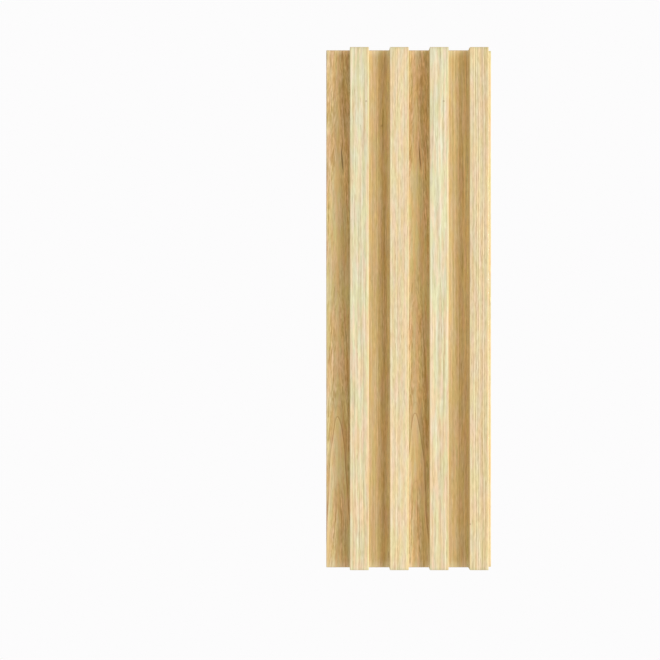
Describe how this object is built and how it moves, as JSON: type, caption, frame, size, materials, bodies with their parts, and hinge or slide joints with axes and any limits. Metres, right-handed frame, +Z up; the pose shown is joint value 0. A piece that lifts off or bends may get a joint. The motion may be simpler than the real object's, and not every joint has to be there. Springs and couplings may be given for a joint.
{
  "type": "slat wall panel",
  "caption": "Pale wood wall panel with upright square slats, shadow gaps between them, a thin tongue along one edge and a grooved, lipped edge for the next panel.",
  "frame": {"origin": "on the wall face, at half the panel's length and in the middle of the row of slats", "axes": "+Z up along the slats, +Y into the wall, +X to the right as seen from the room, so the slats face -Y"},
  "size_m": [0.1255, 0.016, 0.393],
  "materials": {
    "panel_wood": "satin"
  },
  "bodies": {
    "root": {"slat_panel": "panel_wood"}
  },
  "joints": []
}
